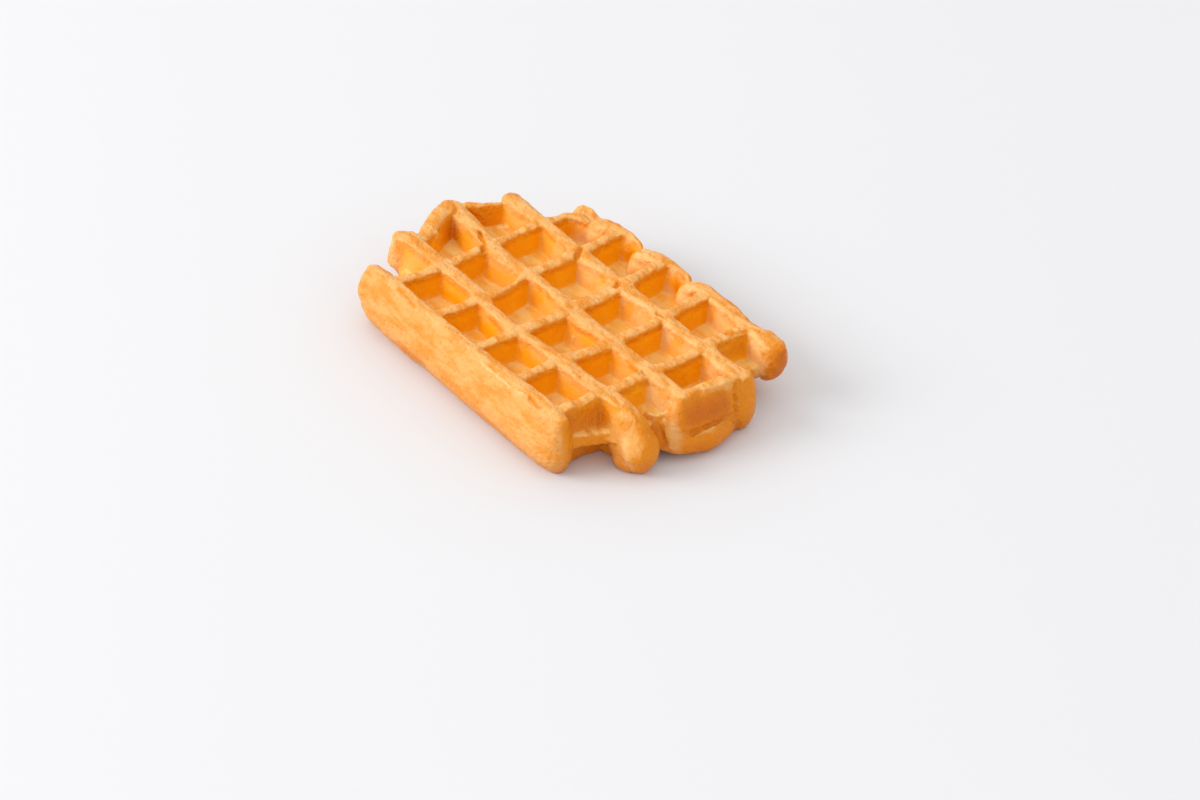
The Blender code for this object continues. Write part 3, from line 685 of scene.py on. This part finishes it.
def chains_mesh(sizes):
    """The chains of stations that the dough follows: ridges, skirts, lumps and the web's strands."""
    bm = bmesh.new()
    for name in POST_SIZES:
        bm.verts.layers.float.new(name)
    for stations in RIDGES:
        add_ridge(bm, sizes, stations, sizes.pocket_lean, foot=sizes.foot)
    for lean, waist, stations in SKIRTS:
        add_ridge(bm, sizes, stations, lean * MM, belly=ROUND_BELLY, waist=waist)
    for stations in LUMPS:
        add_lump(bm, sizes, stations)
    thin = (sizes.thickness - sizes.web) / 2 / MM
    for row, *ends in WEB_ROWS:
        for strand in range(WEB_STRANDS):
            share = strand / (WEB_STRANDS - 1)
            across = row - WEB_HALF + 2 * WEB_HALF * share
            first, last = (ends[i] + (ends[i + 2] - ends[i]) * share for i in (0, 1))
            add_ridge(bm, sizes, ((first, across, 1, thin), (last, across, 1, thin)), 0)
    return mesh_from(bm, "dough_chains")


def strokes_mesh(sizes):
    """A point for each touch, which holds its stroke, its reach and its effect."""
    bm = bmesh.new()
    along = bm.verts.layers.float_vector.new("along")
    reach = bm.verts.layers.float.new("reach")
    effect = bm.verts.layers.float_vector.new("effect")
    # A touch's darkening is browning in some strokes and painted shade in others, and its paling is dried
    # glaze in some and painted light in others
    for start, end, width, rise, toast_and_shade, veil_and_light in TOUCHES:
        vert = bm.verts.new(at(sizes, *start))
        vert[along] = at(sizes, *end) - vert.co
        vert[reach] = width * MM
        vert[effect] = (rise, toast_and_shade, veil_and_light)
    return mesh_from(bm, "strokes")


def plain_mesh(obj):
    """The object's evaluated mesh, with its modifiers taken off."""
    bpy.context.view_layer.update()
    graph = bpy.context.evaluated_depsgraph_get()
    mesh = bpy.data.meshes.new_from_object(obj.evaluated_get(graph))
    mesh.name = obj.name
    obj.modifiers.clear()
    return mesh


def crust_noise(tree, place):
    """Noises, by name: patches of crust, blotches of glaze drawn out along the rows, pebbled skin and
    its grain."""
    # A real crust's grain, about 0.3 mm, is too fine to show, so it is drawn at 1.1 mm
    drawn_out = add(tree, VECTOR_MATH, {0: place, 1: (0.35, 1, 1)}, operation="MULTIPLY")
    noise = {}
    for name, vector, size, detail, roughness in (
            ("patch", place, 9, 3, 0.5), ("blotch", drawn_out, 4, 4, 0.65),
            ("pebble", place, 1.8, 1, 0.5), ("grain", place, 1.1, 3, 0.5)):
        noise[name] = add(tree, NOISE, {"Vector": vector, "Scale": 1 / (size * MM), "Detail": detail,
                                        "Roughness": roughness})
    return noise


def how_far_out(tree, place, normal):
    """How far out of the grid a place is: past its sides, on a wall that faces out of it, or in one
    of its two open corners."""
    facing_out = add(tree, VECTOR_MATH, {0: place, 1: normal}, operation="MULTIPLY")
    sides = (-1, -1, -1)
    for vector, factor, start in ((place, (0.75, 1, 0), 44 * MM), (place, (-0.75, -1, 0), 44 * MM),
                                  (facing_out, (0.65, 1, 0), 34 * MM)):
        side = add(tree, VECTOR_MATH, {0: vector, 1: factor, 2: (-start, -start, 0)},
                   operation="MULTIPLY_ADD")
        sides = add(tree, VECTOR_MATH, {0: sides, 1: side}, operation="MAXIMUM")
    depths = add(tree, SPLIT, {0: sides}).outputs
    outermost = add(tree, MATH, {0: depths[0], 1: depths[1]}, operation="MAXIMUM")
    for factor, start in (((-1, 1, 0), (42, 22, 0)), ((1, -1, 0), (46, 22, 0))):
        corner = add(tree, VECTOR_MATH, {0: place, 1: factor, 2: [-MM * v for v in start]},
                     operation="MULTIPLY_ADD")
        depths = add(tree, SPLIT, {0: corner}).outputs
        least = add(tree, MATH, {0: depths[0], 1: depths[1]}, operation="MINIMUM")
        outermost = add(tree, MATH, {0: outermost, 1: least}, operation="MAXIMUM")
    return outermost


def crust_masks(tree, place, normal, noise):
    """Masks for the crust's colours, by name."""
    # How far the skin faces up, up and a little towards the first row, and towards the key light as
    # the walls that it lights do, and how far a place lies towards the last row's near end
    towards = {}
    for name, vector, direction in (("up", normal, (0, 0, 1)), ("top", normal, (0, -0.2, 0.98)),
                                    ("wall", normal, (0, -0.85, 0.53)), ("last", place, (0.5, 1.5, 0))):
        towards[name] = add(tree, VECTOR_MATH, {0: vector, 1: direction},
                            operation="DOT_PRODUCT").outputs["Value"]
    where = add(tree, SPLIT, {0: place}).outputs

    # Each mask's inputs in turn: what it reads, where it begins, where it is full, its least and most
    masks = {}
    for name, *values in (
            ("outside", how_far_out(tree, place, normal), 0, 4 * MM, 0, 1),
            ("high", where[2], 20.5 * MM, 23.5 * MM, 0, 1),
            ("near tops", where[2], 17 * MM, 22 * MM, 0, 0.6), ("low", where[2], 18 * MM, 16 * MM, 0, 1),
            # foot darkens the skin towards the table
            ("foot", where[2], 12 * MM, 1 * MM, 0, 0.45), ("beside", where[1], -42 * MM, -46 * MM, 0, 1),
            ("faces up", towards["up"], 0.6, 0.95, 0, 1), ("tops", towards["top"], 0.55, 0.9, 0, 1),
            ("key-lit walls", towards["wall"], 0.55, 0.9, 0, 1),
            ("last rows", towards["last"], -55 * MM, 50 * MM, 0, 1),
            ("top blotches", noise["blotch"], 0.38, 0.6, 0.1, 0.75),
            ("floor blotches", noise["blotch"], 0.4, 0.6, 0.3, 1),
            ("band blotches", noise["blotch"], 0.36, 0.62, 0.15, 0.6),
            ("wall patches", noise["patch"], 0.42, 0.56, 0.3, 0.9),
            ("flecks", noise["grain"], 0.62, 0.76, 0, 0.2)):
        masks[name] = add(tree, MAP_RANGE, dict(enumerate(values)), interpolation_type="SMOOTHSTEP")
    masks["pressed"] = add(tree, MATH, {0: masks["high"], 1: masks["outside"]}, operation="MAXIMUM")
    masks["floors"] = add(tree, MATH, {0: masks["faces up"], 1: masks["low"]}, operation="MULTIPLY")
    return masks


def glazed_crust(colours):
    """Golden iron-baked crust under a thin sugar glaze: saturated orange where the glaze is clear,
    browner where it lay against the iron, pale and pinkish on what faces up and towards the first
    row, which is partly dried glaze and partly painted light and painted sheen from the key light,
    paler on the floors with painted sheen, darker with painted shade on walls that face away from
    the light, and with a soft wet shine all over."""
    material = bpy.data.materials.new("glazed_crust")
    material.use_nodes = True
    tree = material.node_tree
    shader = tree.nodes["Principled BSDF"]
    coords = add(tree, "ShaderNodeTexCoord").outputs
    noise = crust_noise(tree, coords["Object"])
    masks = crust_masks(tree, coords["Object"], coords["Normal"], noise)
    touch = add(tree, "ShaderNodeAttribute", attribute_name="touch")
    touched = add(tree, SPLIT, {0: touch.outputs["Vector"]}).outputs

    # The pale veil is as thick as the thickest of its parts, and browning, with the touches' painted
    # shade, lies over it. The veil is partly dried glaze and partly painted light: a painted sheen on
    # the tops and floors, and painted light on the walls that face the key light
    veil_and_light = 0
    for first, second, third in (("tops", "high", "top blotches"), ("faces up", "low", "floor blotches"),
                                 ("key-lit walls", "last rows", "wall patches"),
                                 ("key-lit walls", "near tops", "wall patches"),
                                 ("beside", "beside", "band blotches")):
        both = add(tree, MATH, {0: masks[first], 1: masks[second]}, operation="MULTIPLY")
        part = add(tree, MATH, {0: both, 1: masks[third]}, operation="MULTIPLY")
        veil_and_light = add(tree, MATH, {0: veil_and_light, 1: part}, operation="MAXIMUM")
    veiled_and_lit = add(tree, MATH, {0: veil_and_light, 1: touched[2]}, operation="ADD", use_clamp=True)
    flecked = add(tree, MATH, {0: masks["flecks"], 1: masks["pressed"], 2: touched[1]},
                  operation="MULTIPLY_ADD", use_clamp=True)
    browned_and_shaded = add(tree, MATH, {0: flecked, 1: masks["foot"]}, operation="ADD", use_clamp=True)
    # The veil's colour, paler on the floors: dried glaze, with painted light and painted sheen
    glaze = add(tree, "ShaderNodeMix",
                {"Factor": masks["floors"], "A": (*colours.veil_and_light, 1), "B": (*colours.pool, 1)},
                data_type="RGBA")
    crust = (*colours.crust, 1)
    for share, over in ((noise["patch"], (*colours.deep, 1)), (masks["pressed"], (*colours.ridge, 1)),
                        (veiled_and_lit, glaze), (browned_and_shaded, (*colours.toast_and_shade, 1))):
        crust = add(tree, "ShaderNodeMix", {"Factor": share, "A": crust, "B": over}, data_type="RGBA")
    tree.links.new(crust.outputs[2], shader.inputs["Base Color"])

    pebbled = add(tree, MATH, {0: noise["grain"], 1: 0.6, 2: noise["pebble"]}, operation="MULTIPLY_ADD")
    coarse = add(tree, MAP_RANGE, {"Value": masks["pressed"], "To Min": 0.3, "To Max": 1})
    height = add(tree, MATH, {0: pebbled, 1: coarse}, operation="MULTIPLY")
    bump = add(tree, "ShaderNodeBump", {"Height": height, "Strength": 1, "Distance": 0.8 * MM})
    tree.links.new(bump.outputs[0], shader.inputs["Normal"])
    for name, value in {"Roughness": 0.45, "Specular IOR Level": 0.2, "IOR": 1.4, "Coat Weight": 0.2,
                        "Coat Roughness": 0.2, "Coat IOR": 1.45, "Subsurface Weight": 0.15,
                        "Subsurface Scale": 2 * MM, "Subsurface Radius": (1, 0.4, 0.1)}.items():
        shader.inputs[name].default_value = value
    return material


class WAFFLE_OT_bake(bpy.types.Operator):
    """Makes the waffle: its ridges and web, fused and softened, in their glazed crust"""

    bl_idname = "waffle.bake"
    bl_label = "Bake Waffle"

    def execute(self, context):
        sizes = context.scene.waffle_sizes
        material = glazed_crust(context.scene.crust_colours)
        strokes = bpy.data.objects.new("strokes", strokes_mesh(sizes))
        waffle = bpy.data.objects.new("waffle_crust", chains_mesh(sizes))
        context.scene.collection.objects.link(waffle)
        add_nodes_modifier(waffle, dough_runs_tree(), sizes, material=material)
        fuse = waffle.modifiers.new("fuse", "REMESH")
        fuse.mode = "VOXEL"
        fuse.voxel_size = sizes.grain
        add_nodes_modifier(waffle, dough_skin_tree(), sizes, material=material, strokes=strokes,
                           wrinkled_above=sizes.thickness / 2 - WRINKLED_DEPTH,
                           rest_level=FLAT_CUT - sizes.thickness / 2)
        waffle.data = plain_mesh(waffle)
        bpy.data.objects.remove(strokes)
        if not waffle.data.polygons:
            raise RuntimeError("the waffle came out empty")
        thin = waffle.modifiers.new("thin", "DECIMATE")
        thin.ratio = min(1, sizes.faces / sum(len(face.vertices) - 2 for face in waffle.data.polygons))
        waffle.data = plain_mesh(waffle)
        waffle.data.shade_smooth()
        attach(waffle, "root")
        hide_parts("waffle")
        return {"FINISHED"}


# ---- The stage ---------------------------------------------------

def camera_matrix(stage):
    """Where the camera stands: back from its aim, and rolled about its line of sight."""
    back = Vector((math.sin(stage.azimuth) * math.cos(stage.elevation),
                   -math.cos(stage.azimuth) * math.cos(stage.elevation), math.sin(stage.elevation)))
    right = Vector((math.cos(stage.azimuth), math.sin(stage.azimuth), 0))
    up = back.cross(right)
    turned = Matrix((right, up, back)).transposed().to_4x4() @ Matrix.Rotation(stage.roll, 4, "Z")
    return Matrix.Translation(CAMERA_AIM + back * stage.distance) @ turned


class WAFFLE_OT_stage(bpy.types.Operator):
    """Makes the pale floor, the soft lights and the camera"""

    bl_idname = "waffle.stage"
    bl_label = "Set Stage"

    def execute(self, context):
        scene = context.scene
        stage = scene.waffle_stage

        # A matt pale floor has no gloss, so it shows nothing but the waffle's soft shadow
        paint = bpy.data.materials.new("matt_pale_floor")
        paint.use_nodes = True
        shader = paint.node_tree.nodes["Principled BSDF"]
        shader.inputs["Base Color"].default_value = (*stage.floor, 1)
        shader.inputs["Roughness"].default_value = 0.9
        bm = bmesh.new()
        bmesh.ops.create_grid(bm, x_segments=1, y_segments=1, size=FLOOR_HALF)
        mesh = mesh_from(bm, "floor")
        mesh.materials.append(paint)
        floor = bpy.data.objects.new("floor", mesh)
        scene.collection.objects.link(floor)

        lamp = bpy.data.lights.new("key_light", "AREA")
        lamp.size = stage.key_size
        lamp.energy = stage.key_power
        key = bpy.data.objects.new("key_light", lamp)
        toward = KEY_LIGHT_TOWARD.normalized()
        key.matrix_world = (Matrix.Translation(toward * stage.key_distance)
                            @ toward.to_track_quat("Z", "Y").to_matrix().to_4x4())
        scene.collection.objects.link(key)
        scene.world = bpy.data.worlds.new("soft_room")
        scene.world.use_nodes = True
        room = scene.world.node_tree.nodes["Background"]
        room.inputs["Color"].default_value = (1, 1, 1, 1)
        room.inputs["Strength"].default_value = stage.room

        lens = bpy.data.cameras.new("camera")
        lens.lens = stage.lens
        lens.sensor_width = 36
        lens.clip_start = 0.05
        lens.clip_end = 20
        camera = bpy.data.objects.new("camera", lens)
        scene.collection.objects.link(camera)
        camera.matrix_world = camera_matrix(stage)
        scene.camera = camera
        scene.view_settings.view_transform = "Standard"
        return {"FINISHED"}


class WAFFLE_PT_panel(bpy.types.Panel):
    """Lists the operators and their settings"""

    bl_idname = "WAFFLE_PT_panel"
    bl_label = "Belgian Waffle"
    bl_space_type = "VIEW_3D"
    bl_region_type = "UI"
    bl_category = "Waffle"

    def draw(self, context):
        for title, groups, operator in PANEL_BOXES:
            box = self.layout.box()
            box.label(text=title)
            for group in groups:
                settings = getattr(context.scene, group)
                for prop in settings.__annotations__:
                    box.prop(settings, prop)
            box.operator(operator)


PANEL_BOXES = (
    ("Waffle", ("waffle_sizes", "crust_colours"), WAFFLE_OT_bake.bl_idname),
    ("Stage", ("waffle_stage",), WAFFLE_OT_stage.bl_idname),
)
GROUPS = {"waffle_sizes": WaffleSizes, "crust_colours": CrustColours, "waffle_stage": StageSettings}
CLASSES = (*GROUPS.values(), WAFFLE_OT_bake, WAFFLE_OT_stage, WAFFLE_PT_panel)


def register():
    for cls in CLASSES:
        bpy.utils.register_class(cls)
    for name, group in GROUPS.items():
        setattr(bpy.types.Scene, name, bpy.props.PointerProperty(type=group))


def unregister():
    for name in GROUPS:
        delattr(bpy.types.Scene, name)
    for cls in reversed(CLASSES):
        bpy.utils.unregister_class(cls)


def main():
    register()
    bpy.ops.waffle.bake()
    bpy.ops.waffle.stage()


if __name__ == "__main__":
    main()
